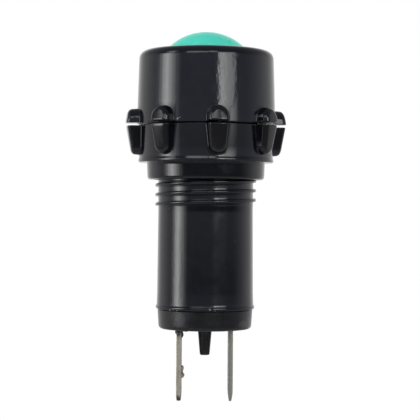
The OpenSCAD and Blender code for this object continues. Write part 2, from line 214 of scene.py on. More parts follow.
@dataclass(frozen=True)
class Finish:
    """A material made of nodes on a Principled shader."""

    name: str  # name of the material, after what it is made of
    colour: str  # main colour, sRGB hex
    second: str  # second colour of its pattern, sRGB hex
    roughness: float = 0.4  # middle roughness
    grain_mm: float = 1.0  # size of the pattern's cells
    bump_mm: float = 0.01  # depth of the pattern's relief
    metallic: float = 0.0  # 1 for a metal, 0 for anything else
    ior: float = 1.5  # index of refraction.  A metal keeps the default
    stretch: Point = EVEN  # scale of the pattern's coordinates, below 1 to draw the cells out
    patches: tuple[Patch, ...] = ()  # spots where the colour changes
    speck: str = ""  # colour of fine specks scattered over it, or nothing
    clear: float = 0.0  # share of the light that passes through it
    painted_glow: float = 0.0  # painted glow: emission in the finish's own colour that brightens it, though it is no lamp

    def material(self) -> bpy.types.Material:
        """Returns the finish's material, and makes it the first time."""
        known = bpy.data.materials.get(self.name)
        if known is not None:
            return known
        material = bpy.data.materials.new(self.name)
        material.diffuse_color = linear_rgba(self.colour)
        graph = Graph(material)
        values = {"Metallic": self.metallic, "IOR": self.ior, "Roughness": self.roughness}
        values |= {"Transmission Weight": self.clear, "Emission Strength": self.painted_glow}
        # A painted glow: emission in the finish's own colour, though the part is no lamp.
        if self.painted_glow:
            values["Emission Color"] = linear_rgba(self.colour)
        shader = graph.put("BsdfPrincipled", values)
        self.dress(graph, shader)
        graph.put("OutputMaterial", {"Surface": shader})
        return material

    def dress(self, graph: Graph, shader: Node) -> None:
        """Gives the shader its colour, relief and gloss.

        Args:
            graph: The material's nodes.
            shader: The Principled shader.
        """
        cloud = self.clouds(graph, self.grain_mm, 4.0, self.stretch)
        fine = self.clouds(graph, self.grain_mm * FINE_GRAIN, 2.0)
        self.paint(graph, shader, cloud)
        self.relief(graph, shader, [(cloud, self.bump_mm), (fine, self.bump_mm * FINE_BUMP)])
        self.gloss(graph, shader, cloud, MOST_ROUGH)

    def clouds(self, graph: Graph, size_mm: float, detail: float = 3.0, stretch: Point = EVEN) -> Node:
        """Adds a cloudy pattern.

        Args:
            graph: The material's nodes.
            size_mm: Size of a cloud.
            detail: Octaves of finer clouds.
            stretch: Scale of the coordinates, below 1 to draw the clouds out.

        Returns:
            A node whose first output runs between 0 and 1.
        """
        place = graph.place
        if stretch != EVEN:
            place = graph.put("Mapping", {"Vector": place, "Scale": stretch})
        inputs = {"Vector": place, "Scale": per_metre(size_mm), "Detail": detail}
        return graph.put("TexNoise", inputs | {"Roughness": CLOUD_ROUGHNESS})

    def paint(self, graph: Graph, shader: Node, cloud: Node) -> None:
        """Mixes the two colours by the clouds, then lays on the specks and the patches."""
        covers = []
        if self.speck:
            cell = graph.put("TexVoronoi", {"Vector": graph.place, "Scale": per_metre(SPECK_CELL_MM)})
            chance = graph.put("SeparateXYZ", {0: cell.outputs["Color"]})
            limit = graph.put("Math", {0: chance, 1: SPECK_REACH}, operation="MULTIPLY")
            covers.append((graph.put("Math", {0: cell, 1: limit}, operation="LESS_THAN"), self.speck))
        wander = self.clouds(graph, PATCH_NOISE_MM) if self.patches else None
        covers += [(patch.mask(graph, wander), patch.colour) for patch in self.patches]
        stops = tuple(zip(COLOUR_STOPS, (self.colour, self.second)))
        colour = graph.put("ValToRGB", {"Fac": cloud}, stops).outputs[0]
        for cover, hue in covers:
            inputs = {0: cover, 6: colour, 7: linear_rgba(hue)}
            colour = graph.put("Mix", inputs, data_type="RGBA").outputs[2]
        graph.feed(shader.inputs["Base Color"], colour)

    def gloss(self, graph: Graph, shader: Node, cloud: Node, most: float) -> None:
        """Lets the clouds move the roughness from LEAST_ROUGH to `most` times its middle."""
        inputs = {"Value": cloud, "From Min": 0.3, "From Max": 0.7}
        inputs |= {"To Min": self.roughness * LEAST_ROUGH, "To Max": self.roughness * most}
        graph.feed(shader.inputs["Roughness"], graph.put("MapRange", inputs))

    def relief(self, graph: Graph, shader: Node, layers: Sequence[tuple[Node, float]]) -> None:
        """Stacks bumps on the shader.

        Args:
            graph: The material's nodes.
            shader: The Principled shader.
            layers: Height factor and depth in millimetres of each layer.
        """
        below = {}
        for height, depth_mm in layers:
            inputs = {"Height": height, "Distance": depth_mm * MM, "Strength": 1.0, **below}
            below = {"Normal": graph.put("Bump", inputs)}
        graph.feed(shader.inputs["Normal"], below["Normal"])


@dataclass(frozen=True)
class PhenolicFinish(Finish):
    """Compression-moulded phenolic: black and glossy, with a faint swell, flow marks and scratches."""

    swell_mm: float = 0.006  # depth of the swell that bends its reflections
    swell_size: float = 2.6  # size of a swell, in millimetres
    scratch_size: float = 0.3  # length of a scratch
    flow_size: float = 0.55  # size of a ripple in the flow marks
    flow: tuple[Patch, ...] = ()  # zones with flow marks, where the skin is rippled
    flow_mm: float = 0.034  # depth of the flow marks

    def dress(self, graph: Graph, shader: Node) -> None:
        """Clouded black, a swell a few millimetres long, scratches, and ripples in the flow marks."""
        cloud = self.clouds(graph, self.grain_mm, 5.0)
        swell = self.clouds(graph, self.swell_size, 1.0, (1.0, 1.0, 0.45))
        scratch = self.clouds(graph, self.scratch_size, 2.0, (1.0, 1.0, 6.0))
        self.paint(graph, shader, cloud)
        ripple = self.clouds(graph, self.flow_size, 3.0, (1.0, 1.0, 0.4))
        layers = [(swell, self.swell_mm), (scratch, self.bump_mm)]
        for zone in self.flow:
            inputs = {0: ripple, 1: zone.mask(graph, cloud)}
            layers.append((graph.put("Math", inputs, operation="MULTIPLY"), self.flow_mm))
        self.relief(graph, shader, layers)
        self.gloss(graph, shader, cloud, 1.25)


Metal = partial(Finish, metallic=1.0)

# Compression-moulded phenolic: a hard gloss on a slightly uneven skin, with grains of dust.
BLACK_PHENOLIC = PhenolicFinish(
    "glossy_black_phenolic", "#0A0B11", "#11121A", roughness=0.13, grain_mm=1.6, bump_mm=0.0006, ior=1.55,
    speck="#3A3B40",
    patches=(
        wall_spot(-4.33, 0.4, 10.9, 0.15, "#B9B9B6"), wall_spot(-4.0, 0.62, 10.9, 0.11, "#8E8E8C"),
        wall_spot(4.5, -18.2, 7.5, 0.07, "#77777A"), wall_spot(-5.4, -29.0, 7.75, 0.14, "#A8A8A8"),
        wall_spot(-4.9, -28.9, 7.75, 0.1, "#8A8A8A"), wall_spot(-4.3, -29.05, 7.75, 0.12, "#9C9C9C"),
        wall_spot(0.8, -28.75, 7.75, 0.12, "#A8A8A8"), wall_spot(1.55, -28.95, 7.75, 0.08, "#949494"),
        wall_spot(-5.6, -13.2, 7.6, 0.1, "#6C6C70"),
    ),
    flow=(
        Patch((3.1, -10.5, 6.8), (2.1, 3.0, 5.0), "#000000", 1.0),
        Patch((-4.6, -6.0, -22.0), (1.2, 3.0, 6.5), "#000000", 0.4),
    ),
)
# The same resin from a duller mould, rubbed pale in two places: a soft sheen and no sharp mirror.
MATT_PHENOLIC = Finish(
    "matt_black_phenolic", "#090A0C", "#131416", roughness=0.3, grain_mm=1.7, bump_mm=0.02, ior=1.55,
    speck="#6A6B6C",
    patches=(
        Patch((-3.8, -6.4, -30.4), (0.9, 2.0, 1.0), "#38393C", 0.6),
        Patch((6.1, -4.4, -31.2), (0.9, 2.0, 0.6), "#4A4B4C", 0.5),
    ),
)
# Milky acrylic, moulded and a little worn: even colour, a blurred gleam and a painted glow, an emission that
# brightens the unlit lens.
LENS_PLASTIC = Finish(
    "milky_teal_acrylic", "#40E6C8", "#62F2D8", roughness=0.32, grain_mm=1.3, bump_mm=0.004, ior=1.49,
    stretch=(1.0, 1.0, 0.35), speck="#A5FBE8", painted_glow=0.22,
)
# Cut from sheet rubber: dull, with hardly any gleam.
GASKET_RUBBER = Finish("black_gasket_rubber", "#161616", "#202020", roughness=0.8, grain_mm=0.4, ior=1.52)
# Punched and zinc plated: a cool grey with faint spangles.
ZINC_STEEL = Metal("zinc_plated_steel", "#B9BABB", "#A4A7AA", roughness=0.35, grain_mm=0.6, bump_mm=0.002)
# Tin plate gone dull, with flux and pitch burnt on: warm grey, darker at the root and the tip.
TARNISHED_TIN = Metal(
    "tarnished_tin_plate", "#D2CCBC", "#ABA392", roughness=0.55, grain_mm=1.1, bump_mm=0.012,
    stretch=(1.0, 1.0, 0.4),
    patches=(
        Patch((-4.05, 0.0, -32.9), (0.8, 3.0, 0.8), "#35322F", 0.9),
        Patch((-4.1, 0.0, -39.0), (0.7, 3.0, 0.9), "#B9A59C", 0.7),
        Patch((-4.45, 0.0, -40.6), (0.3, 3.0, 0.8), "#7A6650", 0.8),
        Patch((-4.05, 0.0, -43.3), (0.9, 3.5, 1.0), "#54504A", 0.85),
    ),
)
# Tin plate under a thin skin of oxide: paler and chalkier than bare metal, so not fully metallic.
TIN_PLATE = Finish(
    "tin_plate", "#ECECDC", "#CFCEBE", roughness=0.5, grain_mm=1.2, bump_mm=0.008, metallic=0.6,
    stretch=(1.0, 1.0, 0.4),
    patches=(
        Patch((4.05, 0.0, -32.6), (0.7, 3.0, 0.45), "#35322F", 0.9),
        Patch((4.05, 0.0, -42.3), (0.4, 3.0, 0.3), "#6A6358", 0.8),
    ),
)
# Solder from a cool iron: lumpy, pale and a little pink with old flux.
OLD_SOLDER = Metal("old_solder", "#DCCDC6", "#A0948E", roughness=0.5, grain_mm=0.5, bump_mm=0.02)
# Poured pitch: nearly black, with a greasy gleam.
PITCH = Finish(
    "black_sealing_pitch", "#0C0B0A", "#1B1916", roughness=0.35, grain_mm=0.5, bump_mm=0.02, ior=1.6
)
# Rolled brass for springs: smooth yellow with long soft gleams.
SPRING_BRASS = Metal("spring_brass", "#D6B35C", "#B8923F", roughness=0.3, grain_mm=0.8, bump_mm=0.002)
# Headed brass rivets: the same metal, bruised by the punch.
RIVET_BRASS = Metal("rivet_brass", "#CBA653", "#A98438", roughness=0.38, grain_mm=0.3, bump_mm=0.004)
# Vulcanised fibre, punched from board: red brown, dry and a little hairy.
FIBRE_BOARD = Finish(
    "vulcanised_fibre_board", "#6E3B26", "#5A2D1B", roughness=0.7, grain_mm=0.25, bump_mm=0.02
)
# Nickel on spun brass: warm white and bright.
NICKEL_BRASS = Metal("nickel_plated_brass", "#D2CDBE", "#BDB6A4", roughness=0.25, grain_mm=0.7, bump_mm=0.001)
# Blown glass: clear, with a faint waver in its wall.
CLEAR_GLASS = Finish(
    "clear_lamp_glass", "#F2F7F8", "#FAFCFC", roughness=0.02, grain_mm=2.0, bump_mm=0.001, clear=1.0
)
# Pressed black glass: a wet gloss.
BLACK_GLASS = Finish(
    "black_vitrite_glass", "#0C0B10", "#17141C", roughness=0.12, grain_mm=0.5, bump_mm=0.003, ior=1.55
)
# A solder tip set from the melt: soft grey, dimpled.
SOLDER = Metal("tin_solder", "#B4AFA8", "#8F8880", roughness=0.38, grain_mm=0.3, bump_mm=0.02)
# Drawn nickel wire: grey white and smooth.
NICKEL_WIRE = Metal("nickel_wire", "#BDB8AE", "#A29C92", roughness=0.3, grain_mm=0.2, bump_mm=0.002)
# A drawn tungsten coil, its turns drawn as a coarse grain: dark grey and rough.
TUNGSTEN = Metal("tungsten_coil", "#5C5C60", "#48484C", roughness=0.5, grain_mm=0.05, bump_mm=0.02)


# ---------------- surfaces


@dataclass
class Surface:
    """A skin on a grid of points, in millimetres."""

    grid: np.ndarray  # points, rows along the section and columns along the sweep
    ring_rows: bool = True  # the last row meets the first one
    ring_columns: bool = True  # the last column meets the first one

    def quads(self) -> np.ndarray:
        """Gives the four point numbers of each cell of the grid."""
        rows, columns = self.grid.shape[:2]
        row = np.arange(rows if self.ring_rows else rows - 1)[:, None]
        column = np.arange(columns if self.ring_columns else columns - 1)[None, :]
        next_row, next_column = (row + 1) % rows, (column + 1) % columns
        corners = [row * columns + column, row * columns + next_column]
        corners += [next_row * columns + next_column, next_row * columns + column]
        return np.stack([np.broadcast_to(c, (row.size, column.size)).ravel() for c in corners], axis=1)

    def welded(self) -> tuple[np.ndarray, list[list[int]]]:
        """Merges points that coincide, drops cells without area and turns faces outwards.

        A cell with two merged corners becomes a triangle.  The sign of the enclosed
        volume, the sum of v0 . (v1 x v2) over a fan of triangles, says which way round
        the faces go.

        Returns:
            The points, and the faces as lists of point numbers.
        """
        points = self.grid.reshape(-1, 3)
        keys = np.round(points / WELD_MM).astype(np.int64)
        _, first, back = np.unique(keys, axis=0, return_index=True, return_inverse=True)
        points = points[first]
        quads = back.reshape(-1)[self.quads()]
        same = quads == np.roll(quads, -1, axis=1)
        crossed = (quads[:, 0] == quads[:, 2]) | (quads[:, 1] == quads[:, 3])
        whole = quads[(same.sum(axis=1) == 0) & ~crossed]
        triangles = [whole[:, [0, 1, 2]], whole[:, [0, 2, 3]]]
        faces = whole.tolist()
        for side in range(4):
            chosen = quads[same[:, side] & (same.sum(axis=1) == 1) & ~crossed]
            kept = chosen[:, [c for c in range(4) if c != side]]
            triangles.append(kept)
            faces += kept.tolist()
        fans = points[np.concatenate(triangles)]
        volume = np.einsum("ij,ij->i", fans[:, 0], np.cross(fans[:, 1], fans[:, 2])).sum()
        if volume < 0:
            faces = [face[::-1] for face in faces]
        return points, faces


def arc(centre: Pair, radius: float, start: float, end: float, steps: int) -> list[Pair]:
    """Gives points on a circular arc in the plane of radius and height.

    Args:
        centre: Radius and height of the arc's centre.
        radius: Radius of the arc.
        start: First angle in degrees, from the outward direction towards +Z.
        end: Last angle in degrees.
        steps: Number of points.

    Returns:
        Pairs of radius and height.
    """
    angles = np.radians(np.linspace(start, end, steps))
    return list(zip(centre[0] + radius * np.cos(angles), centre[1] + radius * np.sin(angles)))


def run(start: Pair, end: Pair, steps: int) -> list[Pair]:
    """Gives evenly spaced points on a straight line, with both ends."""
    return [tuple(p) for p in np.linspace(start, end, steps)]


def polar(radius: np.ndarray, angle: np.ndarray, height: np.ndarray) -> np.ndarray:
    """Gives the points (radius cos angle, radius sin angle, height)."""
    return np.stack(np.broadcast_arrays(radius * np.cos(angle), radius * np.sin(angle), height), axis=2)


def turned(profile: Sequence[Pair], angle: np.ndarray) -> np.ndarray:
    """Carries a profile round the axis, with one row of points for each of its pairs."""
    section = np.array(profile, float)
    return polar(section[:, :1], angle, section[:, 1:])


def revolve(profile: Sequence[Pair], columns: int = 160) -> Surface:
    """Turns a closed profile of radius and height once round the axis, in even steps."""
    return Surface(turned(profile, 2 * np.pi * np.arange(columns) / columns))


def blob(at: Point, reach: Point, lumps: float = 0.12) -> Surface:
    """Makes a lumpy drop, such as a bit of solder or of sealing pitch.

    A point is at + reach x (1 + lumps x waves) x direction, and the waves vanish at the poles.

    Args:
        at: Its middle, in millimetres.
        reach: Half its size along X, Y and Z.
        lumps: Height of the waves, as a share of the size.

    Returns:
        The closed surface.
    """
    theta = np.linspace(0, np.pi, 17)[:, None]
    phi = 2 * np.pi * np.arange(28)[None, :] / 28
    waves = np.sin(2 * phi + 1.3) + 0.6 * np.sin(3 * phi + 5 * theta)
    swell = 1 + lumps * np.sin(theta) ** 2 * waves
    unit = polar(np.sin(theta), phi, np.cos(theta))
    return Surface(np.array(at) + np.array(reach) * swell[:, :, None] * unit, ring_rows=False)


def box_mm(node: str) -> tuple[np.ndarray, np.ndarray]:
    """Gives the lowest and highest corner of a node of the frame, in millimetres."""
    low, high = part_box(node)
    return np.array(low) / MM, np.array(high) / MM


def stand(name: str, data: bpy.types.ID) -> bpy.types.Object:
    """Makes an object for a mesh, a light or a camera, and links it into the scene."""
    thing = bpy.data.objects.new(name, data)
    bpy.context.scene.collection.objects.link(thing)
    return thing


def mesh_of(name: str, surfaces: Sequence[Surface]) -> bpy.types.Mesh:
    """Makes one mesh, in metres, from closed skins in millimetres."""
    points, faces, start = [], [], 0
    for surface in surfaces:
        part_points, part_faces = surface.welded()
        points.append(part_points)
        faces += [[index + start for index in face] for face in part_faces]
        start += len(part_points)
    mesh = bpy.data.meshes.new(name)
    mesh.from_pydata((np.concatenate(points) * MM).tolist(), [], faces)
    return mesh


def make_piece(
    name: str,
    surfaces: Sequence[Surface],
    finish: Finish,
    body: Body,
    stands_for: Sequence[str] = (),
) -> None:
    """Makes one object from surfaces, dresses it and ties it to the frame.

    Args:
        name: Name of the object.
        surfaces: Its closed skins.
        finish: Its finish.
        body: The body that it rides on.
        stands_for: Nodes of the frame that it replaces.
    """
    mesh = mesh_of(name, surfaces)
    mesh.shade_smooth()
    mesh.set_sharp_from_angle(angle=math.radians(SHARP_DEG))
    mesh.materials.append(finish.material())
    piece = stand(name, mesh)
    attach(piece, body.value)
    if stands_for:
        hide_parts(*stands_for)
    LOG.info("%s: %d faces on %s", name, len(mesh.polygons), body.value)


# ---------------- lugged mouldings


@dataclass(frozen=True)
class GripLug:
    """One grip lug, seen from outside as a tombstone that stands on its foot."""

    width: float  # width at the foot
    height: float  # height from the foot to the arched end
    arch_r: float  # radius of the arched end's corners
    taper: float  # amount by which it narrows over its height
    lean_deg: float  # lean of the outer face towards the axis
    draft: float  # inset of its sides from the wall outwards
    round_w: float  # width of the rounded edge, along the wall
    round_d: float  # depth of the rounded edge, away from the wall
    fillet: float  # radius where it leaves the wall
    foot_r: float  # radius of the edge at its foot


@dataclass
class LugBand:
    """The part of a wall that carries a ring of lugs, as a grid that follows their outlines."""

    lug: GripLug  # shape of a lug
    count: int  # number of lugs
    phase_deg: float  # angle of the first lug from the X axis
    wall_r: float  # radius of the wall at the foot
    wall_slope: float  # change of the wall's radius per millimetre of height
    tip_r: float  # radius over the lugs at the foot
    gap_columns: int = 14  # columns of the grid between two lugs
    face_columns: int = 7  # columns on a lug's face, inside its rounded edges
    face_rows: int = 12  # rows from the rounded edge of the arch down to the foot

    def rise_curve(self) -> tuple[np.ndarray, np.ndarray]:
        """Gives a lug's section: inset from its outline, and share of its full depth there.

        The curve is a hollow fillet, a drafted side and an elliptic rounded edge.
        """
        lug, depth = self.lug, self.tip_r - self.wall_r
        hollow = np.radians(np.linspace(0, 90, 5))
        edge = np.radians(np.linspace(0, 90, 9))
        side = lug.fillet + lug.draft
        inset = np.concatenate([lug.fillet * np.sin(hollow), side + lug.round_w * (1 - np.cos(edge))])
        rise = np.concatenate([lug.fillet * (1 - np.cos(hollow)), depth - lug.round_d * (1 - np.sin(edge))])
        return inset, rise / depth

    def columns(self) -> tuple[np.ndarray, np.ndarray]:
        """Gives each lug column's side factor and its inset from the side of the outline."""
        inset, _ = self.rise_curve()
        inner = np.linspace(-1, 1, self.face_columns + 2)[1:-1]
        factor = np.concatenate([-np.ones(inset.size), inner, np.ones(inset.size)])
        return factor, np.concatenate([inset, np.full(inner.size, inset[-1]), inset[::-1]])

    def half_width(self, height: np.ndarray) -> np.ndarray:
        """Half width of the outline, fillet and all, at a height above the foot."""
        lug = self.lug
        return lug.width / 2 + lug.fillet - lug.taper / 2 * np.clip(height / lug.height, 0, 1)

    def grid(self) -> tuple[np.ndarray, np.ndarray, np.ndarray]:
        """Works out the band.

        A column of a lug keeps its distance from the lug's side.  Its rows run from the
        arched outline down to the foot.  With d the inset of a point from the outline, its
        radius goes from the wall towards the tip by the section's share at d.  The
        signed inset is that of a rectangle with rounded corners.

        Returns:
            Points (rows, columns, 3) with the height above the foot as third value, the
            angle of each column at the top of the band, and that at its foot.
        """
        lug = self.lug
        inset, share = self.rise_curve()
        factor, side_inset = self.columns()
        top = lug.height + lug.fillet
        corner = lug.arch_r + lug.fillet
        half_top = self.half_width(top)
        bow = np.clip(np.abs(factor) * (half_top - side_inset) - (half_top - corner), 0, corner)
        top_of_column = top - corner + np.sqrt(np.maximum(corner**2 - bow**2, 0))
        down = np.concatenate([inset / top, np.linspace(inset[-1] / top, 1, self.face_rows + 1)[1:]])[:, None]

        height = lug.foot_r + (top_of_column - lug.foot_r) * (1 - down)
        half = self.half_width(height)
        side = factor * (half - side_inset)
        over_x = np.abs(side) - (half - corner)
        over_h = height - (top - corner)
        outside = np.hypot(np.maximum(over_x, 0), np.maximum(over_h, 0))
        depth_in = corner - outside - np.minimum(np.maximum(over_x, over_h), 0)
        wall_r = self.wall_r + self.wall_slope * height
        tip_r = self.tip_r - math.tan(math.radians(lug.lean_deg)) * height
        wall_x = np.sqrt(wall_r**2 - side**2)
        tip_x = np.sqrt(tip_r**2 - side**2)
        out_x = wall_x + (tip_x - wall_x) * np.interp(depth_in, inset, share)

        turn = np.radians(np.linspace(0, 90, 6))[1:, None]
        edge = np.minimum(lug.foot_r, 0.6 * (out_x[-1] - wall_x[-1]))
        foot_half = self.half_width(0.0)
        foot_side = np.broadcast_to(factor * (foot_half - side_inset), (turn.size + 1, factor.size))
        foot_wall = np.sqrt(self.wall_r**2 - foot_side[0] ** 2)
        foot_x = np.concatenate([out_x[-1] - edge * (1 - np.cos(turn)), foot_wall[None, :]])
        foot_h = np.concatenate([lug.foot_r * (1 - np.sin(turn)), [[0.0]]]) * np.ones(factor.size)
        x = np.concatenate([out_x, foot_x])
        y = np.concatenate([side, foot_side])
        h = np.concatenate([height, foot_h])

        gap_down = np.concatenate([lug.foot_r + (top - corner - lug.foot_r) * (1 - down), foot_h[:, :1]])
        gap_wall = self.wall_r + self.wall_slope * gap_down
        edge_angle = np.arcsin(self.half_width(gap_down) / gap_wall)
        pitch = 2 * np.pi / self.count
        part = (np.arange(self.gap_columns) + 1) / (self.gap_columns + 1)
        gap_angle = edge_angle + part * (pitch - 2 * edge_angle)

        lug_r, lug_angle = np.hypot(x, y), np.arctan2(y, x)
        radius = np.concatenate([lug_r, gap_wall * np.ones(part.size)], axis=1)
        angle = np.concatenate([lug_angle, gap_angle], axis=1)
        level = np.concatenate([h, gap_down * np.ones(part.size)], axis=1)
        starts = np.radians(self.phase_deg) + pitch * np.arange(self.count)
        angle = np.concatenate([angle + start for start in starts], axis=1)
        radius, level = np.tile(radius, self.count), np.tile(level, self.count)
        return polar(radius, angle, level), angle[0], angle[-1]


@dataclass
class LuggedMoulding:
    """A round moulding with a ring of lugs on its wall."""

    band: LugBand  # the lugs and the wall between them
    foot_z: float  # height of the lugs' foot
    up: int  # 1 where the arched ends point up, -1 where they point down

    def surface(self, profile: Sequence[Pair]) -> Surface:
        """Closes the band with the rest of the section.

        The columns of the rest stand at the band's own angles.  They turn little by
        little from those at its foot to those at its top, so that the two ends meet.

        Args:
            profile: Radius and height of the rest, from the foot round to the wall
                beyond the arched ends.

        Returns:
            The closed surface.
        """
        points, top_angle, foot_angle = self.band.grid()
        points[:, :, 2] = self.foot_z + self.up * points[:, :, 2]
        blend = np.linspace(0, 1, len(profile))[:, None] ** 2
        angle = foot_angle + (top_angle - foot_angle) * blend
        return Surface(np.concatenate([points, turned(profile, angle)]))


@dataclass
class ScrewCap:
    """The cap that holds the lens: drafted wall, rounded rim, lip, and eight low lugs."""

    lug: GripLug = GripLug(
        width=3.4, height=2.3, arch_r=1.69, taper=0.0, lean_deg=10, draft=0.06, round_w=0.7, round_d=0.8,
        fillet=0.1, foot_r=0.16,
    )
    lug_count: int = 8
    rim_w: float = 1.8
    rim_h: float = 1.5
    rim_power: float = 2.3
    lip_t: float = 1.45
    lip_edge: float = 0.15
    bevel: float = 0.08
    step: float = 0.13
    face_r: float = 10.65
    base_r: float = 10.95
    bore_r: float = 8.06
    hole_r: float = 6.53
    phase_deg: float = 9.5

    def rim(self, face: float) -> list[Pair]:
        """Gives the rim's rounding from the face to the wall, a quarter of a superellipse."""
        turn = np.radians(np.linspace(90, 0, 18))
        share = 2 / self.rim_power
        radius = self.face_r - self.rim_w + self.rim_w * np.cos(turn) ** share
        return list(zip(radius, face - self.rim_h + self.rim_h * np.sin(turn) ** share))

    def build(self) -> None:
        """Makes the cap's mesh and dresses it."""
        low, high = box_mm("screw_cap")
        base, face = low[2], high[2]
        slope = (self.face_r - self.base_r) / (face - base)
        band = LugBand(self.lug, self.lug_count, self.phase_deg, self.base_r - 0.02, slope, high[0])
        lip = face - self.lip_t
        flat_r = self.face_r - self.rim_w
        wall_low = base + self.step + self.lug.height + self.lug.fillet + 0.5
        profile = [(self.base_r - 0.03, base + self.bevel), (self.base_r - self.bevel, base)]
        profile += [(self.bore_r + 0.2, base), (self.bore_r, base + 0.2)]
        profile += run((self.bore_r, base + 1), (self.bore_r, lip - 0.1), 4)
        profile += [(self.bore_r, lip), (self.hole_r, lip)]
        profile += run((self.hole_r, lip + 0.2), (self.hole_r, face - 0.2), 3)
        profile += arc((self.hole_r + self.lip_edge, face - self.lip_edge), self.lip_edge, 180, 90, 4)
        profile += run((self.hole_r + 0.6, face), (flat_r - 0.1, face), 4)
        profile += self.rim(face)
        start = (self.face_r + 0.01, face - self.rim_h - 0.3)
        profile += run(start, (self.base_r + slope * wall_low, wall_low), 6)
        surface = LuggedMoulding(band, base + self.step, 1).surface(profile)
        make_piece("screw_cap_moulding", [surface], BLACK_PHENOLIC, Body.CAP, ["screw_cap"])


@dataclass
class MountingNut:
    """The panel nut: a lugged ring, a plain collar below it and a seat for the washer."""

    lug: GripLug = GripLug(
        width=3.5, height=4.6, arch_r=1.22, taper=1.0, lean_deg=10, draft=0.08, round_w=0.65, round_d=0.8,
        fillet=0.12, foot_r=0.14,
    )
    lug_count: int = 8
    wall_r: float = 10.7
    step: float = 0.13
    ring_h: float = 5.85
    ring_edge: float = 0.25
    collar_r: float = 9.35
    collar_draft: float = 0.1
    collar_edge: float = 0.5
    bore_r: float = 8.06
    lean: float = -0.02
    seat_r: float = 9.52
    seat_depth: float = 0.8
    phase_deg: float = 9.5

    def flare(self, start: float, end: float, drop: float) -> list[Pair]:
        """Gives the wall from the ring's foot to its waist, an S curve of smoothstep form.

        Args:
            start: Height of the ring's foot.
            end: Height of the waist.
            drop: Height from the waist to the lugs' foot.

        Returns:
            Pairs of radius and height.
        """
        sweep = np.linspace(0, 1, 7)[1:]
        inward = self.lean * drop
        radius = self.wall_r + inward * sweep * sweep * (3 - 2 * sweep)
        return list(zip(radius, start + (end - start) * sweep))

    def build(self) -> None:
        """Makes the nut's mesh and dresses it."""
        low, high = box_mm("mounting_nut")
        foot, top = low[2], high[2]
        band = LugBand(self.lug, self.lug_count, self.phase_deg, self.wall_r, self.lean, high[0] + 0.01)
        ring, seat = top - self.ring_h, top - self.seat_depth
        collar_low = self.collar_r - self.collar_draft
        lug_foot = top - self.step
        waist = lug_foot - self.lug.height - self.lug.fillet - 0.15
        profile = [(self.wall_r - 0.02, top - 0.08), (self.wall_r - 0.1, top)]
        profile += [(self.seat_r, top), (self.seat_r, seat), (self.bore_r + 0.3, seat)]
        profile += run((self.bore_r, seat - 0.3), (self.bore_r, foot + 0.3), 6)
        profile += [(self.bore_r + 0.3, foot)]
        profile += arc((collar_low - self.collar_edge, foot + self.collar_edge), self.collar_edge, -90, 0, 8)
        start = (self.collar_r - self.collar_draft * 0.8, foot + 0.8)
        profile += run(start, (self.collar_r, ring - 0.1), 5)
        profile += [(self.collar_r + 0.05, ring - 0.02), (self.collar_r + 0.15, ring)]
        profile += [(self.wall_r - 0.35, ring)]
        profile += arc((self.wall_r - self.ring_edge, ring + self.ring_edge), self.ring_edge, -80, 0, 6)
        profile += self.flare(ring + 0.3, waist, lug_foot - waist)
        surface = LuggedMoulding(band, lug_foot, -1).surface(profile)
        make_piece(
            "mounting_nut_moulding", [surface], BLACK_PHENOLIC, Body.NUT, ["mounting_nut"]
        )


# ---------------- barrel, lens, base


